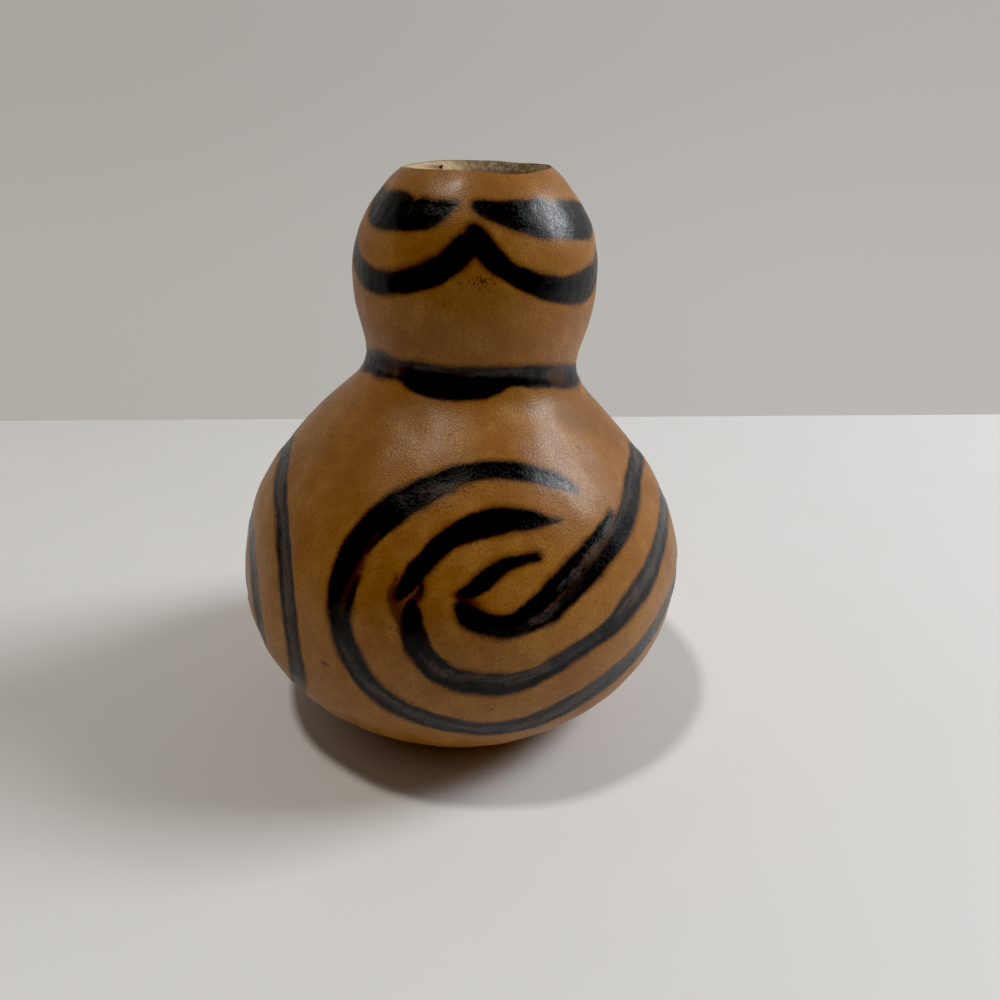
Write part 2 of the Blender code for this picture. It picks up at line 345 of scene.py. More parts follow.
# %% Swags, patches and waist band
SWAGS = {
    "swag_left": ((-91.4, 123.7, 3.2), (-95, 121.5, 4.6), (-101.6, 118.2, 5.2), (-108, 116.0, 5.4),
                  (-115, 114.6, 5.0), (-124, 113.5, 4.5), (-134, 112.9, 4.6), (-142, 113.1, 5.2),
                  (-150, 114.3, 5.2), (-158, 116.6, 4.6), (-168, 120.4, 3.8), (-177, 124.0, 2.6)),
    "swag_right": ((-91.8, 123.9, 3.2), (-88.2, 121.2, 4.2), (-83.8, 118.4, 4.2), (-78, 116.1, 4.1),
                   (-71.6, 114.4, 4.2), (-63.6, 112.9, 4.8), (-54, 111.8, 5.4), (-43, 111.6, 6.0),
                   (-33, 112.2, 6.4), (-24, 113.7, 6.0), (-14, 116.8, 4.8), (-4, 123.0, 2.8)),
    "swag_back_right": ((-3.4, 123.4, 2.6), (2, 119.6, 4.0), (10, 115.8, 4.3), (22, 113.0, 4.6),
                        (36, 111.8, 4.8), (50, 112.2, 4.6), (64, 114.4, 4.3), (76, 118.2, 4.0),
                        (86, 123.6, 2.6)),
    "swag_back_left": ((86.6, 123.9, 2.6), (92, 119.6, 3.9), (100, 115.8, 4.2), (112, 113.2, 4.6),
                       (126, 112.0, 4.8), (140, 112.4, 4.5), (154, 114.8, 4.2), (166, 118.6, 4.0),
                       (178, 124.2, 2.6)),
}
PATCHES = {
    "left_dab_one": ((-163, 129.6, 0.8), (-157, 129.0, 4.0), (-150, 128.4, 6.6), (-143, 128.1, 7.8),
                     (-137, 128.3, 7.8), (-131, 128.2, 6.8), (-125, 127.4, 5.6)),
    "left_dab_tip": ((-163, 132.0, 1.2), (-158, 131.0, 2.8), (-152, 129.6, 4.6), (-145, 128.6, 5.4)),
    "left_dab_two": ((-146, 126.6, 4.4), (-136, 126.7, 5.6), (-127, 126.9, 6.0), (-118, 127.1, 6.4),
                     (-112, 127.7, 5.4), (-106.5, 128.7, 3.0), (-101, 129.6, 0.8)),
    "left_dab_bump": ((-124, 128.2, 3.4), (-119, 128.5, 4.6), (-114, 128.5, 4.0), (-108, 128.8, 2.4)),
    "right_fan": ((-90, 129.6, 2.4), (-86.4, 129.0, 3.8), (-81.6, 128.4, 4.6), (-75, 127.9, 5.6),
                  (-67, 127.3, 6.8), (-57, 126.8, 7.8), (-47, 126.3, 8.2), (-36, 125.9, 8.4),
                  (-26, 125.9, 7.6), (-17, 126.2, 5.4), (-10, 126.6, 2.4)),
    "back_right_dab": ((10, 129.4, 1.6), (18, 128.4, 4.8), (28, 127.8, 6.6), (40, 127.6, 7.0),
                       (52, 127.8, 6.4), (64, 128.6, 4.4), (74, 129.6, 1.4)),
    "back_left_dab": ((98, 129.6, 1.2), (106, 128.8, 3.6), (116, 128.0, 5.6), (128, 127.6, 6.8),
                      (140, 127.6, 7.2), (150, 128.2, 6.2), (158, 128.8, 3.0)),
}
WAIST = {
    "waist_left": ((-176, 92.4, 4.6), (-166, 92.3, 5.2), (-156, 92.8, 5.0), (-146, 93.3, 5.4),
                   (-137, 93.2, 4.4), (-128, 93.2, 1.6)),
    "waist_front": ((-150, 92.6, 0.8), (-142, 93.2, 3.2), (-133, 93.3, 3.6), (-123, 93.0, 4.6),
                    (-112, 93.0, 4.8),
                    (-100, 93.0, 4.9), (-86, 93.4, 4.9), (-72, 93.8, 4.7), (-58, 93.4, 4.6),
                    (-47, 92.9, 4.0), (-38, 92.4, 1.6)),
    "waist_lap": ((-125, 90.8, 1.0), (-116, 90.2, 2.6), (-104, 90.0, 3.2), (-92, 90.4, 3.2),
                  (-82, 91.0, 2.6), (-75, 92.2, 1.0)),
    "waist_right": ((-51, 92.9, 1.6), (-43, 92.5, 4.2), (-36, 92.1, 4.8), (-27, 91.6, 4.8), (-12, 91.4, 4.6),
                    (4, 91.6, 4.4), (20, 92.0, 4.6), (34, 92.6, 4.8), (47, 93.2, 3.0)),
    "waist_back": ((43, 92.0, 1.6), (54, 92.6, 4.4), (68, 93.0, 4.8), (84, 92.8, 4.6),
                   (100, 92.4, 4.8), (116, 92.2, 5.0), (130, 92.6, 4.0), (138, 93.2, 1.8)),
    "waist_join": ((133, 91.6, 1.4), (143, 92.2, 4.4), (156, 92.6, 4.8), (170, 92.6, 4.8),
                   (182, 92.6, 4.4), (190, 93.0, 2.0)),
}
LINES = {**FRONT_SWIRL, **BACK_SWIRL, **JOINING, **SWAGS, **PATCHES, **WAIST}
print("burnt strokes in all:", len(LINES))

# %% [markdown]
# ## From strokes to a map on the skin
# Each point of the skin needs to know how deep inside a line it lies. The stroke is sampled
# finely along its smooth centre line, and the nearest sample gives the distance. Half the
# width less that distance is positive inside the line and negative outside. The material can
# then make crisp, ragged or scorched edges from one number. The way along and across the
# stroke is kept as well, because the iron leaves streaks that follow it.

# %% Measure every skin point against the strokes
SAMPLE_STEP = 0.4
REACH = 8.0  # mm beyond a line that its map still covers
WOBBLE = 0.07  # how unevenly the iron was pressed, as a share of the width


def skin_height_radius():
    """Heights and radii of the skin above its lowest few millimetres, for looking up a radius."""
    start = int(np.argmax(skin_curve[:, 1] > 1.0))
    return skin_curve[start:, 1], skin_curve[start:, 0]


HEIGHTS, RADII = skin_height_radius()


def on_skin(degrees, height):
    """Grown places of points given by degrees round the gourd and height."""
    return grow(np.interp(height, HEIGHTS, RADII), np.radians(degrees), height, 0.0)


def sample_stroke(stroke):
    """Points, half widths, directions and distance along a stroke's smooth centre line."""
    rough = smooth_curve(stroke, 400)
    course = on_skin(rough[:, 0], rough[:, 1])
    length = np.concatenate([[0.0], np.cumsum(np.linalg.norm(np.diff(course, axis=0), axis=1))])
    stops = np.linspace(0.0, length[-1], max(int(length[-1] / SAMPLE_STEP), 8))
    points = np.stack([np.interp(stops, length, course[:, axis]) for axis in range(3)], axis=1)
    half = np.interp(stops, length, np.clip(rough[:, 2], 0.3, None)) / 2.0
    phase = random.uniform(0.0, 2.0 * np.pi, 3)
    wave = sum(np.sin(stops / period + shift) for period, shift in zip((1.1, 2.3, 4.7), phase))
    half = half * (1.0 + WOBBLE * wave / 2.0)
    return points, half, np.gradient(points, axis=0), stops


def map_strokes(points, normals, strokes):
    """Depth inside the nearest line (mm) and the way (along, across, stroke number)."""
    depth = np.full(len(points), -REACH)
    way = np.zeros((len(points), 3))
    for number, stroke in enumerate(strokes.values()):
        line, half, heading, along = sample_stroke(stroke)
        low, high = line.min(0) - REACH, line.max(0) + REACH
        near = np.where(((points > low) & (points < high)).all(axis=1))[0]
        for part in np.array_split(near, max(len(near) // 4000, 1)):
            gap = ((points[part][:, None, :] - line[None]) ** 2).sum(-1)
            value = half[None] - np.sqrt(gap)
            best = value.argmax(axis=1)
            found = value[np.arange(len(part)), best]
            side = np.cross(heading[best], normals[part])
            side /= np.linalg.norm(side, axis=1)[:, None] + 1e-9
            across = ((points[part] - line[best]) * side).sum(-1)
            better = found > depth[part]
            chosen = part[better]
            depth[chosen] = found[better]
            way[chosen] = np.stack(
                [along[best], across, np.full(len(part), number * 17.0)], axis=1)[better]
    return depth, way


def grid_normals(grid):
    """Outward unit normals of a grid of rings."""
    around = np.roll(grid, -1, axis=1) - np.roll(grid, 1, axis=1)
    upward = np.gradient(grid, axis=0)
    normal = np.cross(around, upward)
    return normal / (np.linalg.norm(normal, axis=-1)[..., None] + 1e-9)


normals = grid_normals(places)
outside = slice(0, SKIN_END * TURNS)
flat_places, flat_normals = places.reshape(-1, 3), normals.reshape(-1, 3)
burn = np.full(len(flat_places), -REACH)
burn_way = np.zeros((len(flat_places), 3))
burn[outside], burn_way[outside] = map_strokes(
    flat_places[outside], flat_normals[outside], LINES)
print("share of the skin that is burnt:", round(float((burn[outside] > 0).mean()), 3))

# %% [markdown]
# ## Small marks in the skin
# Dried gourds carry marks from the field: here a brown spot low on the left, and clusters of
# flecks below the middle peak and between the lines. Where the iron went over a place twice,
# or lifted off, it left the skin brown and not black. Some line middles are made grey as well,
# partly as ash and partly as painted sheen. Each kind gets a map of its own, drawn
# with the same strokes, because the material treats each in its own way.

# %% Blemishes
STAINS = {
    "low_spot": ((-123.2, 35.7, 0.8), (-121.9, 36.0, 1.3), (-120.8, 35.6, 0.7)),
    "low_scratch": ((-77.5, 27.6, 0.4), (-75.5, 27.4, 0.5), (-73.5, 27.6, 0.4)),
    "side_spot": ((18.0, 30.0, 1.2), (20.0, 29.4, 1.8)),
    "back_spot": ((97.0, 66.0, 1.6), (99.0, 65.2, 1.1)),
}
FLECKS = {
    "below_peak": ((-91.6, 113.9, 2.0), (-88.6, 113.9, 3.0), (-85.6, 113.3, 1.6)),
    "beside_peak": ((-99.5, 113.9, 0.8), (-97.5, 113.5, 0.8)),
    "swirl_gap": ((-91.0, 73.2, 1.2), (-88.4, 73.8, 1.2)),
    "swirl_gap_left": ((-98.4, 70.0, 1.4), (-94.4, 71.2, 1.2)),
    "hook_gap": ((-78.0, 55.6, 0.6), (-77.6, 54.8, 0.6)),
    "shoulder": ((-150.0, 84.5, 0.5), (-147.0, 85.0, 0.4)),
    "back_neck": ((64.0, 102.0, 0.8), (69.0, 101.0, 1.0)),
    "back_belly": ((128.0, 72.0, 0.8), (124.0, 71.0, 1.0)),
    "side_belly": ((14.0, 66.0, 0.6), (17.0, 65.0, 0.9)),
}
SCORCHES = {
    "outer_inside": ((-106.0, 69.2, 0.5), (-109.6, 66.6, 1.2), (-111.8, 64.4, 2.0),
                     (-113.6, 61.0, 2.4), (-115.0, 57.4, 2.8), (-116.4, 53.6, 2.6),
                     (-117.0, 50.2, 1.8), (-117.4, 46.4, 0.6)),
    "middle_joint": ((-104.8, 58.4, 0.8), (-105.4, 54.6, 2.2), (-104.0, 50.6, 2.2), (-102.8, 46.6, 0.8)),
    "hook_joint": ((-91.6, 55.2, 1.8), (-88.6, 53.8, 2.0), (-86.0, 53.6, 0.8)),
    "tail_gap": ((-72.0, 50.6, 0.5), (-64.0, 54.8, 1.4), (-55.0, 59.8, 1.8), (-46.0, 63.8, 1.6),
                 (-38.0, 66.4, 0.6)),
    "left_upper": ((213.0, 62.0, 0.6), (220.6, 57.4, 2.0), (225.6, 52.6, 2.4), (228.4, 46.0, 1.6),
                   (229.2, 41.0, 0.6)),
    "left_inner": ((199.0, 55.4, 0.8), (206.0, 51.4, 2.4), (211.0, 45.4, 3.0), (212.8, 38.0, 2.4),
                   (211.0, 32.6, 0.6)),
    "left_top": ((192.0, 71.2, 1.6), (199.0, 69.8, 2.2), (206.0, 67.2, 1.8), (212.0, 64.2, 0.8)),
    "left_lower": ((228.2, 35.0, 0.5), (226.8, 29.0, 2.0), (224.0, 22.6, 2.0), (220.0, 18.0, 0.6)),
    "waist_left_gap": ((-143.0, 93.4, 2.6), (-135.0, 93.4, 4.6), (-127.0, 93.2, 2.4)),
    "waist_right_gap": ((-50.0, 93.0, 2.2), (-42.0, 92.6, 4.4), (-34.0, 92.0, 2.4)),
    "back_tail_gap": ((196.0, 46.0, 0.6), (184.0, 40.4, 1.6), (170.0, 34.4, 1.8), (157.0, 29.0, 0.6)),
}


def middle_of(stroke, share):
    """The middle of a stroke: the same course, a share of its width."""
    return tuple((degrees, height, width * share) for degrees, height, width in stroke)


# middles of lines that turn brown from a thin burn, or grey that is partly ash and partly painted sheen
WORN_AND_SHEEN = {
    "tail_low": ((-76.4, 48.5, 0.5), (-73.0, 49.9, 1.7), (-69.6, 51.4, 0.6)),
    "tail_mid": ((-69.4, 54.1, 0.6), (-66.0, 55.8, 1.9), (-62.0, 57.7, 0.6)),
    "tail_high": ((-62.4, 58.0, 0.6), (-57.8, 59.8, 2.2), (-53.4, 61.8, 1.2), (-51.2, 62.7, 1.8),
                  (-44.4, 65.6, 2.2), (-35.8, 67.8, 2.6), (-24.8, 70.2, 2.6), (-13.4, 71.4, 1.6)),
    "middle_bottom": ((-99.8, 43.1, 0.8), (-97.4, 40.2, 1.5), (-94.4, 38.2, 1.8), (-90.0, 37.2, 2.0),
                      (-84.4, 36.4, 1.8), (-78.0, 35.8, 1.8), (-73.6, 36.8, 1.9), (-69.0, 38.0, 1.8),
                      (-64.4, 39.6, 1.9), (-59.4, 41.2, 0.8)),
    "middle_right": ((-54.0, 43.8, 0.8), (-50.6, 45.5, 2.2), (-45.0, 47.9, 2.8), (-40.0, 50.3, 2.8),
                     (-32.0, 53.9, 3.0), (-23.4, 56.7, 2.8), (-13.0, 58.4, 2.4), (-4.0, 59.2, 1.0)),
    "outer_bottom": ((-117.0, 43.0, 0.8), (-113.4, 35.8, 2.0), (-110.0, 31.9, 2.2),
                     (-105.6, 28.7, 1.8), (-98.8, 24.9, 2.0), (-91.6, 22.2, 2.0), (-86.8, 21.0, 1.8),
                     (-79.4, 20.6, 2.2), (-71.2, 21.0, 2.6), (-64.8, 22.8, 3.0), (-59.6, 25.8, 3.4),
                     (-52.4, 29.8, 3.8), (-44.6, 33.6, 4.0), (-36.0, 36.6, 3.6), (-27.4, 38.6, 2.6),
                     (-20.0, 40.0, 1.0)),
    "outer_highlight": ((-104.0, 73.0, 0.4), (-100.6, 73.5, 1.0), (-95.0, 74.0, 0.8),
                        (-91.0, 74.6, 0.4)),
    "band_left": ((-148.0, 92.6, 0.5), (-139.0, 92.8, 1.8), (-131.0, 93.0, 0.6)),
    "band_front": ((-120.0, 94.3, 0.5), (-106.0, 94.5, 1.2), (-90.0, 94.6, 1.0), (-74.0, 94.9, 1.4),
                   (-60.0, 94.0, 0.6)),
    "band_right": ((-54.0, 93.3, 0.8), (-44.8, 92.8, 2.8), (-35.0, 92.2, 0.8)),
    "over_line": middle_of(BACK_SWIRL["over_line"], 0.45),
    "edge_line": middle_of(BACK_SWIRL["edge_line"], 0.45),
    "inner_line": middle_of(BACK_SWIRL["inner_line"], 0.6),
    "back_tail_lap": middle_of(BACK_SWIRL["back_tail_lap"], 0.35),
    "upper_run": middle_of(JOINING["upper_run"], 0.35),
    "middle_run": middle_of(JOINING["middle_run"], 0.4),
    "lower_run": middle_of(JOINING["lower_run"], 0.4),
}
skin_maps = {"burn": burn}
for name, strokes in (("stain", STAINS), ("fleck", FLECKS), ("scorch", SCORCHES), ("worn", WORN_AND_SHEEN)):
    skin_maps[name] = np.full(len(flat_places), -REACH)
    skin_maps[name][outside] = map_strokes(flat_places[outside], flat_normals[outside], strokes)[0]
print("small marks:", len(STAINS) + len(FLECKS), "scorches:", len(SCORCHES), "worn:", len(WORN_AND_SHEEN))

# %% [markdown]
# ## Relief
# The iron sinks a shallow groove, the skin swells and dips over centimetres, the saw leaves
# ridges on the cut, and scraping leaves the lining rough. All of it is real shape of a tenth
# of a millimetre or so, and it moves the points along their normals. The finest grain is left
# to the materials. Ripples made of many sine waves in random directions stand in for noise,
# and give the same surface each time.

# %% Move the points
GROOVE = 0.16
SWELL = 0.22
SAW_RIDGE = 0.05
SCRAPE = 0.22
SCAR_RADIUS, SCAR_DEPTH = 4.2, 0.7


def ripples(points, wavelength, count, seed):
    """Smooth random hills of about one unit, from sine waves in random directions."""
    dice = np.random.default_rng(seed)
    directions = dice.normal(size=(count, 3))
    directions /= np.linalg.norm(directions, axis=1)[:, None]
    pitch = 2.0 * np.pi / (wavelength * dice.uniform(0.7, 1.5, count))
    phase = dice.uniform(0.0, 2.0 * np.pi, count)
    waves = np.sin(points @ (directions * pitch[:, None]).T + phase)
    return waves.sum(-1) / np.sqrt(count / 2.0)


ring_index = np.repeat(np.arange(len(rings)), TURNS)
heights = height_grid.ravel()
grounded = ease(heights, 0.5, 9.0)  # the flat and its border stay as they are
on_outside = ring_index < SKIN_END
on_edge = (ring_index >= SKIN_END) & (ring_index < EDGE_END)
on_lining = ring_index >= EDGE_END
swelling = SWELL * ripples(flat_places, 34.0, 14, 3) + 0.25 * SWELL * ripples(flat_places, 9.0, 18, 4)
groove = GROOVE * ease(burn, -0.5, 0.7) * (1.0 + 0.12 * ripples(flat_places, 3.0, 14, 8))
lift = np.where(on_outside, (swelling - groove) * grounded, 0.0)
room = CAD_BOX[1][0] / MM - np.abs(flat_places[:, :2]).max(axis=1)  # to the plain shell's box
lift = np.where(on_outside, np.minimum(lift, np.maximum(room - 0.02, -0.05)), lift)
rough = SCRAPE * (ripples(flat_places, 4.5, 26, 5) + 0.6 * ripples(flat_places, 2.2, 26, 6))
lift += np.where(on_lining, rough * (1.0 - ease(heights, 0.5, 6.0) * 0.4), 0.0)
shaped = flat_places + flat_normals * lift[:, None]
saw_lines = flat_places * np.array([0.25, 1.0, 0.0])
ridge = SAW_RIDGE * (ripples(saw_lines, 1.3, 10, 9) + 0.8 * ripples(flat_places, 2.6, 16, 10))
shaped[:, 2] += np.where(on_edge, np.clip(ridge - SAW_RIDGE, -3.0 * SAW_RIDGE, 0.0), 0.0)
nicks = np.zeros(len(flat_places))
for notch in NOTCHES:
    aside = (np.degrees(angle_grid.ravel()) - notch + 180.0) % 360.0 - 180.0
    inward = (inside_grid.ravel() - NOTCH_MIDDLE) / NOTCH_LENGTH
    nicks += np.exp(-(aside / NOTCH_WIDTH) ** 2 - inward ** 2) * on_edge
shaped[:, 2] -= NOTCH_DEPTH * nicks
# the nicks also darken the cut through the stain map: partly a dark scratch, partly painted shade in the notch
skin_maps["stain"] = np.where(on_edge, nicks, skin_maps["stain"])
shaped[:, 2] = np.minimum(shaped[:, 2], CAD_BOX[1][2] / MM)
middle = np.hypot(flat_places[:, 0], flat_places[:, 1])
scar = SCAR_DEPTH * (1.0 - ease(middle, 0.4 * SCAR_RADIUS, SCAR_RADIUS))
scar *= 0.75 + 0.2 * ripples(flat_places, 2.4, 12, 12)
shaped[:, 2] += np.where(on_outside & (heights < 0.01), np.clip(scar, 0.0, SCAR_DEPTH), 0.0)
print("relief, mm:", round(float(lift.min()), 2), "to", round(float(lift.max()), 2))

# %% [markdown]
# ## The mesh
# The rings become one closed body: quads between neighbouring rings, and a fan at each end.
# Blender could weld separate parts, but one body with three material slots is what a real
# shell is. A UV map that unrolls the rings is made too, with the skin given most of the room,
# so that the look can be baked without a scatter of tiny islands.

# %% Build the shell
SKIN, EDGE, LINING = 0, 1, 2
UV_BANDS = {SKIN: (0.33, 0.995), EDGE: (0.265, 0.315), LINING: (0.005, 0.25)}
UV_MARGIN = 0.004


def ring_faces():
    """Quads between neighbouring rings and a fan at each end, with a material for each face."""
    first, last = len(shaped), len(shaped) + 1
    step = np.arange(TURNS)
    after = (step + 1) % TURNS
    faces, finish = [], []
    for ring in range(len(rings) - 1):
        low, high = ring * TURNS, (ring + 1) * TURNS
        faces += np.stack([low + step, low + after, high + after, high + step], 1).tolist()
        kind = SKIN if ring + 1 < SKIN_END else EDGE if ring + 1 <= EDGE_END else LINING
        finish += [kind] * TURNS
    top = (len(rings) - 1) * TURNS
    faces += np.stack([after, step, np.full(TURNS, first)], 1).tolist()
    faces += np.stack([top + step, top + after, np.full(TURNS, last)], 1).tolist()
    finish += [SKIN] * TURNS + [LINING] * TURNS
    return faces, finish


def unroll(mesh, finish):
    """Fill the UV map: across is the way round, up is the way along the section."""
    section = grow(rings[:, 0], np.radians(-90.0), rings[:, 1], across_wall)
    length = np.concatenate([[0.0], np.cumsum(np.linalg.norm(np.diff(section, axis=0), axis=1))])
    spans = {SKIN: (0, SKIN_END - 1), EDGE: (SKIN_END - 1, EDGE_END), LINING: (EDGE_END, len(rings) - 1)}
    uv = np.zeros((len(mesh.loops), 2))
    corner = np.zeros(len(mesh.loops), np.int64)
    mesh.loops.foreach_get("vertex_index", corner)
    starts = np.zeros(len(mesh.polygons), np.int64)
    totals = np.zeros(len(mesh.polygons), np.int64)
    mesh.polygons.foreach_get("loop_start", starts)
    mesh.polygons.foreach_get("loop_total", totals)
    face = np.repeat(np.arange(len(starts)), totals)
    ring = np.minimum(corner // TURNS, len(rings) - 1)
    turn = (corner % TURNS).astype(float)
    pole = corner >= len(rings) * TURNS
    wraps = np.zeros(len(starts), bool)
    low_turn = np.full(len(starts), TURNS, float)
    np.minimum.at(low_turn, face[~pole], turn[~pole])
    high_turn = np.zeros(len(starts))
    np.maximum.at(high_turn, face[~pole], turn[~pole])
    wraps = high_turn - low_turn > TURNS / 2
    turn = np.where(wraps[face] & (turn < TURNS / 2), turn + TURNS, turn)
    turn = np.where(pole, low_turn[face] + np.where(wraps[face], TURNS - 0.5, 0.5), turn)
    kind = np.array(finish)[face]
    ring_length = length[ring]
    ring_length = np.where(pole & (kind == SKIN), -rings[0, 0], ring_length)
    ring_length = np.where(pole & (kind == LINING), length[-1] + rings[-1, 0], ring_length)
    for band, (start, end) in spans.items():
        low = length[start] - (rings[0, 0] if band == SKIN else 0.0)
        high = length[end] + (rings[-1, 0] if band == LINING else 0.0)
        v_low, v_high = UV_BANDS[band]
        here = kind == band
        uv[here, 1] = v_low + (v_high - v_low) * (ring_length[here] - low) / (high - low)
    uv[:, 0] = UV_MARGIN + (1.0 - 2.0 * UV_MARGIN) * turn / TURNS
    layer = mesh.uv_layers.new(name="OFBake")
    layer.data.foreach_set("uv", uv.ravel())


def store(mesh, name, kind, values):
    """Keep a value for each point of the mesh under a name that materials can read."""
    field = "value" if kind == "FLOAT" else "vector"
    poles = np.repeat(values[[0, -1]], 1, axis=0)
    everything = np.concatenate([values, poles]).astype(np.float32)
    mesh.attributes.new(name, kind, "POINT").data.foreach_set(field, everything.ravel())


def build_shell():
    """Make the closed shell object with its maps."""
    low_pole = [[0.0, 0.0, SCAR_DEPTH]]
    high_pole = [[0.0, 0.0, WALL]]
    points = np.vstack([shaped, low_pole, high_pole]) * MM
    faces, finish = ring_faces()
    mesh = bpy.data.meshes.new("gourd_shell")
    mesh.from_pydata(points.tolist(), [], faces)
    mesh.polygons.foreach_set("material_index", finish)
    unroll(mesh, finish)
    for name, values in skin_maps.items():
        store(mesh, name, "FLOAT", values)
    store(mesh, "burn_way", "FLOAT_VECTOR", burn_way)
    ring_way = np.stack([np.cos(angle_grid.ravel()), np.sin(angle_grid.ravel()), heights], axis=1)
    store(mesh, "ring_way", "FLOAT_VECTOR", ring_way)
    store(mesh, "across_wall", "FLOAT", inside_grid.ravel())
    mesh.shade_smooth()
    mesh.set_sharp_from_angle(angle=radians(28.0))
    shell = bpy.data.objects.new("gourd_shell", mesh)
    bpy.context.scene.collection.objects.link(shell)
    return shell


shell = build_shell()
print("faces:", len(shell.data.polygons), "points:", len(shell.data.vertices))

# %% [markdown]
# ## Helpers for materials
# Materials are drawn from nodes. A few short helpers keep the recipes readable: one adds a
# node and feeds it, the others are the mixers, fades and noises that every finish here needs.
# Sizes of patterns are given in millimetres.


# %% Node helpers
def new_tree(name):
    """A material with an empty node tree holding only a Principled shader and its output."""
    material = bpy.data.materials.new(name)
    material.use_nodes = True
    tree = material.node_tree
    return material, tree, tree.nodes["Principled BSDF"]


def add(tree, kind, inputs, **settings):
    """Add a node, set its options, and feed its inputs with numbers or other nodes' outputs."""
    node = tree.nodes.new(kind)
    for key, value in settings.items():
        setattr(node, key, value)
    for key, value in inputs.items():
        feed(tree, node.inputs[key], value)
    return node


def feed(tree, socket, value):
    """Link an output into a socket, or set the socket's own value."""
    if isinstance(value, bpy.types.NodeSocket):
        tree.links.new(value, socket)
    else:
        socket.default_value = value


def sums(tree, operation, first, second):
    """One arithmetic step."""
    return add(tree, "ShaderNodeMath", {0: first, 1: second}, operation=operation).outputs[0]


def fade(tree, value, start, end, low=0.0, high=1.0):
    """Go smoothly from low to high while value goes from start to end."""
    node = add(tree, "ShaderNodeMapRange", {0: value, 1: start, 2: end, 3: low, 4: high},
               interpolation_type="SMOOTHSTEP")
    return node.outputs[0]


def blend(tree, share, first, second, kind="MIX"):
    """Mix two colours."""
    node = add(tree, "ShaderNodeMix", {0: share, 6: first, 7: second}, data_type="RGBA",
               blend_type=kind)
    return node.outputs[2]


def noise(tree, where, size, detail=2.0, roughness=0.5, distortion=0.0):
    """Cloudy noise from 0 to 1 with hills about size mm apart, in object space."""
    return add(tree, "ShaderNodeTexNoise", {
        "Vector": where, "Scale": 1.0 / (size * MM), "Detail": detail,
        "Roughness": roughness, "Distortion": distortion}).outputs[0]


def attribute(tree, name):
    """A map stored on the mesh."""
    return add(tree, "ShaderNodeAttribute", {}, attribute_name=name)


def stretched(tree, vector, factors):
    """A vector with each part multiplied by its own factor."""
    return add(tree, "ShaderNodeVectorMath", {0: vector, 1: factors}, operation="MULTIPLY").outputs[0]


def bump(tree, height, distance, below=None):
    """Turn heights from 0 to 1 into shading relief of that many mm."""
    inputs = {"Height": height, "Distance": distance * MM, "Strength": 1.0}
    if below is not None:
        inputs["Normal"] = below
    return add(tree, "ShaderNodeBump", inputs).outputs[0]


# %% [markdown]
# ## The skin
# Waxed gourd skin is tan to burnt orange with soft clouds, faint fibres that run from stem to
# foot, pores and a few dark specks. It could be one colour with a noise over it, but each of
# these is on its own scale, so each gets its own layer. The burn is laid on top: a brown
# scorch spreads beyond the line, black char fills it, and streaks along the stroke let brown
# or grey show through. The grey is partly ash and partly painted sheen of the char.

# %% Skin and burnt lines
SKIN_DARK = (0.310, 0.120, 0.020, 1.0)
SKIN_MIDDLE = (0.400, 0.173, 0.033, 1.0)
SKIN_LIGHT = (0.488, 0.232, 0.054, 1.0)
SKIN_PORE = (0.200, 0.066, 0.010, 1.0)
SCORCH = (0.060, 0.019, 0.006, 1.0)
CHAR = (0.0022, 0.0018, 0.0016, 1.0)
# grey of thin char: partly ash, partly painted sheen where waxed char would mirror the table and wall
ASH_AND_SHEEN = (0.048, 0.046, 0.047, 1.0)
THIN_CHAR = (0.082, 0.049, 0.034, 1.0)
STAIN = (0.075, 0.024, 0.008, 1.0)


def skin_grain(tree, where):
    """Fine leathery cells, from 0 in their middles to 1 between them."""
    bent = add(tree, "ShaderNodeTexNoise", {"Vector": where, "Scale": 1.0 / (1.4 * MM)}).outputs["Color"]
    shift = stretched(tree, bent, (0.5 * MM, 0.5 * MM, 0.5 * MM))
    place = add(tree, "ShaderNodeVectorMath", {0: where, 1: shift}).outputs[0]
    cells = add(tree, "ShaderNodeTexVoronoi", {"Vector": place, "Scale": 1.0 / (0.55 * MM)})
    return fade(tree, cells.outputs["Distance"], 0.1, 0.75)


def skin_colour(tree, where, ring, grain):
    """Clouded tan with fibres, grain and specks."""
    clouds = noise(tree, where, 22.0, 3.0, 0.55, 0.4)
    colour = blend(tree, fade(tree, clouds, 0.3, 0.7), SKIN_DARK, SKIN_MIDDLE)
    patches = noise(tree, where, 6.0, 4.0, 0.6)
    colour = blend(tree, fade(tree, patches, 0.42, 0.75, 0.0, 0.6), colour, SKIN_LIGHT)
    fibres = add(tree, "ShaderNodeTexNoise", {
        "Vector": stretched(tree, ring, (46.0, 46.0, 0.05)), "Scale": 1.0, "Detail": 3.0,
        "Roughness": 0.6}).outputs[0]
    colour = blend(tree, fade(tree, fibres, 0.45, 0.75, 0.0, 0.22), colour, SKIN_DARK)
    colour = blend(tree, fade(tree, grain, 0.3, 1.0, 0.0, 0.22), colour, SKIN_PORE)
    pores = noise(tree, where, 0.6, 2.0, 0.6)
    colour = blend(tree, fade(tree, pores, 0.52, 0.72, 0.0, 0.55), colour, SKIN_PORE)
    cells = add(tree, "ShaderNodeTexVoronoi", {"Vector": where, "Scale": 1.0 / (7.0 * MM)})
    rare = fade(tree, add(tree, "ShaderNodeSeparateColor", {0: cells.outputs["Color"]}).outputs[0],
                0.60, 0.62)
    dots = sums(tree, "MULTIPLY", fade(tree, cells.outputs["Distance"], 0.07, 0.035), rare)
    return blend(tree, sums(tree, "MULTIPLY", dots, 0.75), colour, STAIN)


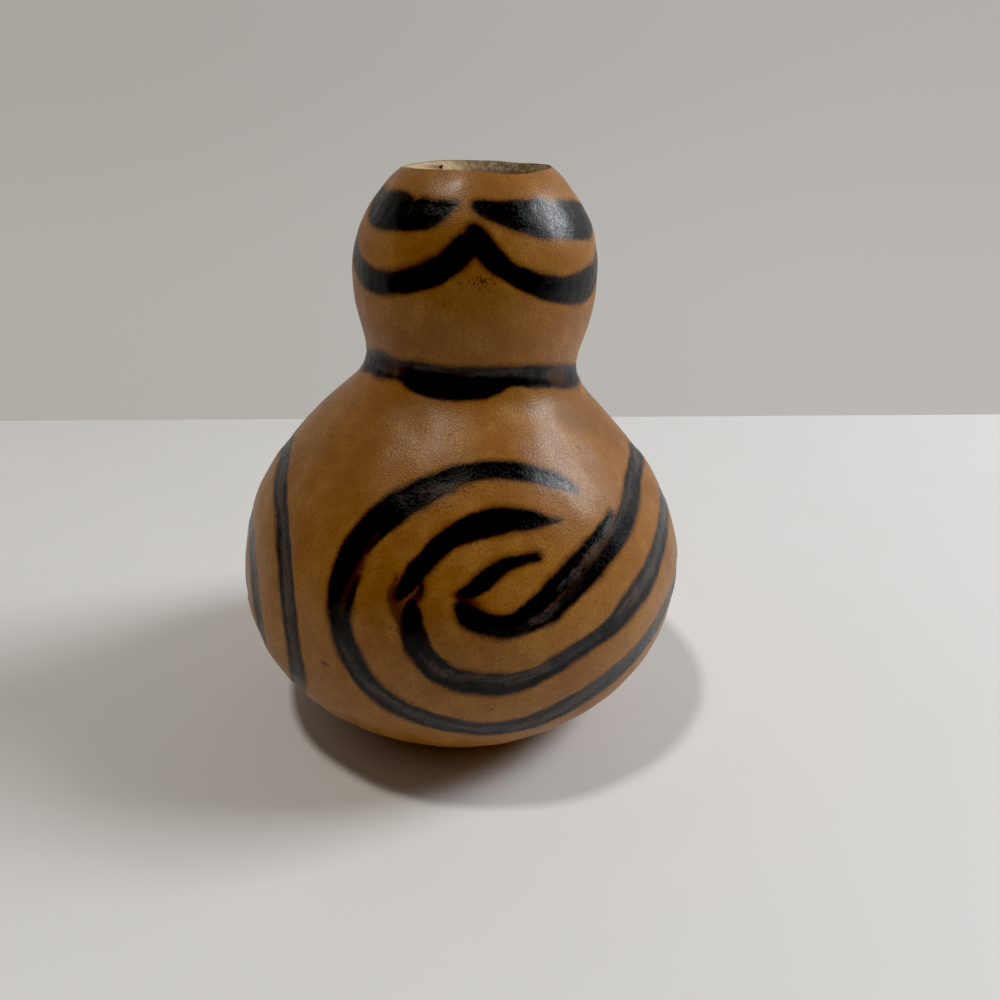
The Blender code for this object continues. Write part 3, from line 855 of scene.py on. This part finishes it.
def marked(tree, where, colour):
    """Stains, clusters of flecks and brown scorches over the skin colour."""
    fine = noise(tree, where, 0.5, 2.0, 0.6)
    stain = sums(tree, "ADD", attribute(tree, "stain").outputs["Fac"], sums(tree, "MULTIPLY", fine, 1.2))
    colour = blend(tree, fade(tree, stain, 0.3, 1.1, 0.0, 0.8), colour, STAIN)
    scatter = sums(tree, "MULTIPLY", sums(tree, "SUBTRACT", fine, 0.54), 10.0)
    fleck = sums(tree, "ADD", attribute(tree, "fleck").outputs["Fac"], scatter)
    colour = blend(tree, fade(tree, fleck, 0.0, 0.9, 0.0, 0.75), colour, STAIN)
    cloud = sums(tree, "MULTIPLY", sums(tree, "SUBTRACT", noise(tree, where, 1.8, 3.0, 0.6), 0.5), 2.4)
    scorch = sums(tree, "ADD", attribute(tree, "scorch").outputs["Fac"], cloud)
    return blend(tree, fade(tree, scorch, -0.9, 0.7, 0.0, 0.85), colour, SCORCH)


def burnt_depth(tree, where):
    """Depth inside a burnt line with its edge made ragged by two sizes of noise."""
    ragged = sums(tree, "SUBTRACT", noise(tree, where, 3.0, 3.0, 0.6), 0.5)
    fine = sums(tree, "SUBTRACT", noise(tree, where, 0.6, 2.0, 0.6), 0.5)
    wander = sums(tree, "ADD", sums(tree, "MULTIPLY", ragged, 0.9), sums(tree, "MULTIPLY", fine, 0.6))
    return sums(tree, "ADD", attribute(tree, "burn").outputs["Fac"], wander)


def burn_streaks(tree):
    """Streaks that follow the stroke, from 0 to 1."""
    way = attribute(tree, "burn_way").outputs["Vector"]
    return add(tree, "ShaderNodeTexNoise", {
        "Vector": stretched(tree, way, (0.07, 0.75, 1.0)), "Scale": 1.0, "Detail": 3.0,
        "Roughness": 0.55}).outputs[0]


def worn_and_sheen_middles(tree, where, streaks):
    """Where the middle of a line is brown from a thin burn, or grey as ash and painted sheen: from 0 to 1,
    broken up by streaks and grains.
    """
    cloud = sums(tree, "SUBTRACT", noise(tree, where, 2.6, 3.0, 0.6), 0.5)
    depth = sums(tree, "ADD", attribute(tree, "worn").outputs["Fac"], sums(tree, "MULTIPLY", cloud, 3.0))
    patches = fade(tree, depth, -0.8, 0.6)
    return sums(tree, "MULTIPLY", patches, fade(tree, streaks, 0.34, 0.60, 0.3, 1.0))


def gourd_skin():
    """The waxed skin with the burnt lines."""
    material, tree, shader = new_tree("gourd_skin")
    where = add(tree, "ShaderNodeTexCoord", {}).outputs["Object"]
    ring = attribute(tree, "ring_way").outputs["Vector"]
    grain = skin_grain(tree, where)
    colour = marked(tree, where, skin_colour(tree, where, ring, grain))
    depth = burnt_depth(tree, where)
    streaks = burn_streaks(tree)
    worn = noise(tree, where, 11.0, 2.0)
    halo_end = fade(tree, worn, 0.35, 0.65, -0.9, -1.9)
    halo = add(tree, "ShaderNodeMapRange", {0: depth, 1: halo_end, 2: 0.35, 3: 0.0, 4: 0.92},
               interpolation_type="SMOOTHSTEP").outputs[0]
    colour = blend(tree, halo, colour, SCORCH)
    speckle = noise(tree, where, 0.7, 3.0, 0.65)
    thin = worn_and_sheen_middles(tree, where, streaks)
    # the grey chosen here is partly ash and partly painted sheen on the char
    sheen_grey_or_brown = blend(tree, fade(tree, noise(tree, where, 9.0, 2.0), 0.42, 0.58), ASH_AND_SHEEN, THIN_CHAR)
    char = blend(tree, sums(tree, "MULTIPLY", thin, fade(tree, speckle, 0.3, 0.6, 0.5, 1.0)),
                 CHAR, sheen_grey_or_brown)
    black = fade(tree, depth, -0.55, 0.50)
    black = sums(tree, "MULTIPLY", black, fade(tree, scorched(tree), 0.0, 1.1, 1.0, 0.40))
    colour = blend(tree, black, colour, char)
    feed(tree, shader.inputs["Base Color"], colour)
    shine = fade(tree, grain, 0.2, 0.9, 0.34, 0.46)
    char_shine = fade(tree, speckle, 0.35, 0.65, 0.27, 0.46)
    rough = add(tree, "ShaderNodeMix", {0: black, 2: shine, 3: char_shine}, data_type="FLOAT").outputs[0]
    feed(tree, shader.inputs["Roughness"], rough)
    shader.inputs["Specular IOR Level"].default_value = 0.26
    flesh = sums(tree, "SUBTRACT", 1.0, sums(tree, "MULTIPLY", black, 0.5))
    relief = bump(tree, sums(tree, "MULTIPLY", sums(tree, "SUBTRACT", 1.0, grain), flesh), 0.026)
    relief = bump(tree, noise(tree, where, 0.42, 2.0, 0.6), 0.016, relief)
    crust = sums(tree, "ADD", speckle, sums(tree, "MULTIPLY", streaks, 0.5))
    relief = bump(tree, sums(tree, "MULTIPLY", crust, black), 0.055, relief)
    feed(tree, shader.inputs["Normal"], relief)
    shader.inputs["Coat Weight"].default_value = 0.12
    shader.inputs["Coat Roughness"].default_value = 0.25
    return material


def scorched(tree):
    """Depth inside a scorch, where even the black is thin."""
    return attribute(tree, "scorch").outputs["Fac"]


# %% [markdown]
# ## The sawn edge and the inside
# The cut goes through pale, dense shell with fibres that run from the skin inwards. Inside,
# scraped pith has dried to a mottled grey tan. Neither was waxed, so both are dull.

# %% Edge and lining finishes
CUT_PALE = (0.66, 0.50, 0.30, 1.0)
CUT_TAN = (0.40, 0.25, 0.12, 1.0)
CUT_BROWN = (0.16, 0.085, 0.035, 1.0)
CUT_OLIVE = (0.36, 0.27, 0.15, 1.0)
CUT_FRESH = (0.70, 0.58, 0.40, 1.0)
PITH_LIGHT = (0.60, 0.49, 0.32, 1.0)
PITH_DARK = (0.33, 0.24, 0.13, 1.0)
PITH_GREY = (0.44, 0.40, 0.30, 1.0)


def sawn_edge():
    """Pale cut shell with fibres across it, a darker line next to the skin, and painted shade towards the
    hole.
    """
    material, tree, shader = new_tree("sawn_edge")
    where = add(tree, "ShaderNodeTexCoord", {}).outputs["Object"]
    ring = attribute(tree, "ring_way").outputs["Vector"]
    share = attribute(tree, "across_wall").outputs["Fac"]
    fibres = add(tree, "ShaderNodeTexNoise", {
        "Vector": stretched(tree, ring, (26.0, 26.0, 0.0)), "Scale": 1.0, "Detail": 3.0,
        "Roughness": 0.65}).outputs[0]
    colour = blend(tree, fade(tree, fibres, 0.42, 0.70), CUT_PALE, CUT_TAN)
    turn = add(tree, "ShaderNodeSeparateXYZ", {0: ring}).outputs[0]
    drift = sums(tree, "MULTIPLY", sums(tree, "SUBTRACT", noise(tree, where, 3.0, 3.0, 0.6), 0.5), 0.5)
    # the cut is olive and brown all round except on its pale left part
    olive_brown_tone = blend(tree, fade(tree, noise(tree, where, 1.6, 4.0, 0.65), 0.38, 0.62), CUT_OLIVE, CUT_BROWN)
    colour = blend(tree, fade(tree, sums(tree, "ADD", turn, drift), -0.56, -0.16, 0.0, 0.92), colour, olive_brown_tone)
    pits = noise(tree, where, 0.8, 3.0, 0.6)
    colour = blend(tree, fade(tree, pits, 0.58, 0.75, 0.0, 0.6), colour, CUT_BROWN)
    colour = blend(tree, fade(tree, share, 0.10, 0.0, 0.0, 0.6), colour, CUT_BROWN)
    # the nicks take the stain colour: partly a dark scratch, partly painted shade in the notch
    nick = fade(tree, attribute(tree, "stain").outputs["Fac"], 0.25, 0.7, 0.0, 0.9)
    colour = blend(tree, nick, colour, STAIN)
    # painted shade: the cut turns brown towards the hole
    colour = blend(tree, fade(tree, share, 0.45, 0.95, 0.0, 0.75), colour, CUT_BROWN)
    feed(tree, shader.inputs["Base Color"], colour)
    feed(tree, shader.inputs["Roughness"], fade(tree, pits, 0.2, 0.8, 0.68, 0.85))
    relief = bump(tree, fibres, 0.10)
    feed(tree, shader.inputs["Normal"], bump(tree, pits, 0.10, relief))
    return material


def scraped_pith():
    """Mottled dry lining with scrape marks."""
    material, tree, shader = new_tree("scraped_pith")
    where = add(tree, "ShaderNodeTexCoord", {}).outputs["Object"]
    ring = attribute(tree, "ring_way").outputs["Vector"]
    mottle = noise(tree, where, 5.0, 5.0, 0.62, 0.5)
    colour = blend(tree, fade(tree, mottle, 0.36, 0.64), PITH_DARK, PITH_LIGHT)
    flakes = noise(tree, where, 1.6, 3.0, 0.6)
    colour = blend(tree, fade(tree, flakes, 0.5, 0.72, 0.0, 0.8), colour, PITH_GREY)
    scrapes = add(tree, "ShaderNodeTexNoise", {
        "Vector": stretched(tree, ring, (9.0, 9.0, 0.05)), "Scale": 1.0, "Detail": 4.0,
        "Roughness": 0.65}).outputs[0]
    colour = blend(tree, fade(tree, scrapes, 0.5, 0.7, 0.0, 0.5), colour, PITH_DARK)
    fresh = fade(tree, add(tree, "ShaderNodeSeparateXYZ", {0: ring}).outputs[2],
                 RIM_HEIGHT - 6.0, RIM_HEIGHT - 2.0, 0.0, 0.7)
    colour = blend(tree, fresh, colour, CUT_FRESH)
    feed(tree, shader.inputs["Base Color"], colour)
    feed(tree, shader.inputs["Roughness"], fade(tree, flakes, 0.2, 0.8, 0.78, 0.95))
    relief = bump(tree, mottle, 0.5)
    feed(tree, shader.inputs["Normal"], bump(tree, flakes, 0.25, relief))
    return material


for finish in (gourd_skin(), sawn_edge(), scraped_pith()):
    shell.data.materials.append(finish)
print("finishes:", [slot.name for slot in shell.data.materials])

# %% [markdown]
# ## Put it in the plain shell's place
# The fine shell takes over from the plain one. A tree of the plain shell's faces tells how
# far the two surfaces are apart, which should be tenths of a millimetre.

# %% Attach and measure
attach(shell, "root")
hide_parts(NODE)
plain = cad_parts[NODE].data
tree_of_plain = BVHTree.FromPolygons([v.co for v in plain.vertices], [p.vertices for p in plain.polygons])
gaps = [tree_of_plain.find_nearest(v.co)[3] / MM for v in list(shell.data.vertices)[::37]]
print("gap to the plain shell, mm: mean", round(float(np.mean(gaps)), 2), "most", round(max(gaps), 2))

# %% [markdown]
# ## Table, light and camera
# The gourd stands on a plain pale table. A small lamp nearly overhead draws the round shadow,
# and a broad window on the right lights the side and gives the second highlight. The wall is
# the world's own soft grey. The camera stands close, which is why the belly looks so much
# bigger than the neck.

# %% Table
TABLE_SIDES, TABLE_FRONT, TABLE_BACK, TABLE_SKEW = 0.9, 0.9, 0.272, 0.025


def table_top():
    """A flat pale sheet that ends behind the gourd."""
    corners = [(-TABLE_SIDES, -TABLE_FRONT, 0), (TABLE_SIDES, -TABLE_FRONT, 0),
               (TABLE_SIDES, TABLE_BACK - TABLE_SKEW, 0), (-TABLE_SIDES, TABLE_BACK + TABLE_SKEW, 0)]
    mesh = bpy.data.meshes.new("table_top")
    mesh.from_pydata(corners, [], [(0, 1, 2, 3)])
    table = bpy.data.objects.new("table_top", mesh)
    bpy.context.scene.collection.objects.link(table)
    material, tree, shader = new_tree("pale_table")
    where = add(tree, "ShaderNodeTexCoord", {}).outputs["Object"]
    tone = noise(tree, where, 60.0, 3.0, 0.5)
    feed(tree, shader.inputs["Base Color"],
         blend(tree, tone, (0.82, 0.81, 0.79, 1.0), (0.86, 0.85, 0.84, 1.0)))
    shader.inputs["Roughness"].default_value = 0.55
    mesh.materials.append(material)
    return table


table_top()

# %% [markdown]
# ## Light
# Every curve in the photograph carries two highlights: a small bright one high on the left from
# a lamp in the ceiling, and a wider one on the right from a window. So there are two square
# lamps. The rest of the light comes from the world, which is a pale wall behind the gourd and
# a dark room in front of it. The dark room matters, because the waxed skin mirrors it. The
# black level is raised a little, as the camera did, so that the char is truly black.

# %% Lights
LAMP_DIRECTION, LAMP_DISTANCE, LAMP_SIZE, LAMP_POWER = (-0.24, -0.08, 0.97), 2.0, 0.17, 11.8
WINDOW_DIRECTION, WINDOW_DISTANCE, WINDOW_SIZE, WINDOW_POWER = (0.78, 0.05, 0.62), 1.5, 0.54, 14.9
TARGET = Vector((0.0, 0.0, 0.06))
BLACK_POINT = 0.0095  # the photo's darkest tones are pulled down to black
WALL_GREY = (0.44, 0.42, 0.39, 1.0)
WALL_LIGHT = (0.50, 0.48, 0.46, 1.0)
ROOM_DARK = (0.022, 0.021, 0.020, 1.0)
CEILING = (0.095, 0.090, 0.083, 1.0)


def area_light(name, direction, distance, size, power, colour):
    """A square lamp that faces the gourd from a direction."""
    lamp = bpy.data.lights.new(name, "AREA")
    lamp.size = size
    lamp.energy = power
    lamp.color = colour
    holder = bpy.data.objects.new(name, lamp)
    holder.location = TARGET + Vector(direction).normalized() * distance
    holder.rotation_euler = (TARGET - holder.location).to_track_quat("-Z", "Y").to_euler()
    bpy.context.scene.collection.objects.link(holder)


area_light("ceiling_lamp", LAMP_DIRECTION, LAMP_DISTANCE, LAMP_SIZE, LAMP_POWER, (1.0, 0.95, 0.88))
area_light("side_window", WINDOW_DIRECTION, WINDOW_DISTANCE, WINDOW_SIZE, WINDOW_POWER, (0.92, 0.96, 1.0))
world = bpy.data.worlds.new("soft_wall")
world.use_nodes = True
sky = world.node_tree
direction = add(sky, "ShaderNodeTexCoord", {}).outputs["Generated"]
toward = add(sky, "ShaderNodeSeparateXYZ", {0: direction}).outputs
wall = blend(sky, fade(sky, toward["X"], -0.5, 0.5), WALL_GREY, WALL_LIGHT)
wall = blend(sky, fade(sky, toward["Z"], -0.15, 0.20, 0.0, 0.12), wall, CEILING)
around = blend(sky, fade(sky, toward["Y"], -0.25, 0.35), ROOM_DARK, wall)
around = blend(sky, fade(sky, toward["Z"], 0.35, 0.85), around, CEILING)
feed(sky, sky.nodes["Background"].inputs["Color"], around)
bpy.context.scene.world = world
view = bpy.context.scene.view_settings
view.view_transform = "Standard"
view.use_curve_mapping = True
view.curve_mapping.black_level = (BLACK_POINT, BLACK_POINT, BLACK_POINT)
view.curve_mapping.update()

# %% [markdown]
# ## Camera
# The gourd's sides close in quickly towards the bottom and the mouth is seen from just above,
# so the camera was near, a little over one gourd's height away, and looked down at 22 degrees.
# The lens follows from how wide the gourd appears from there. Everything in the picture stays
# sharp, so depth of field is left off.

# %% Camera
CAMERA_PLACE = (0.0002, -0.1906, 0.1310)
CAMERA_DOWN, CAMERA_RIGHT = radians(22.0), radians(2.94)
FOCAL_PIXELS, FRAME_PIXELS, SENSOR = 760.0, 1000.0, 36.0
camera = bpy.data.cameras.new("camera")
camera.sensor_width = SENSOR
camera.lens = SENSOR * FOCAL_PIXELS / FRAME_PIXELS
camera.clip_start = 0.01
holder = bpy.data.objects.new("camera", camera)
holder.location = CAMERA_PLACE
holder.rotation_euler = (radians(90.0) - CAMERA_DOWN, 0.0, -CAMERA_RIGHT)
bpy.context.scene.collection.objects.link(holder)
bpy.context.scene.camera = holder
print("camera lens, mm:", round(camera.lens, 2))
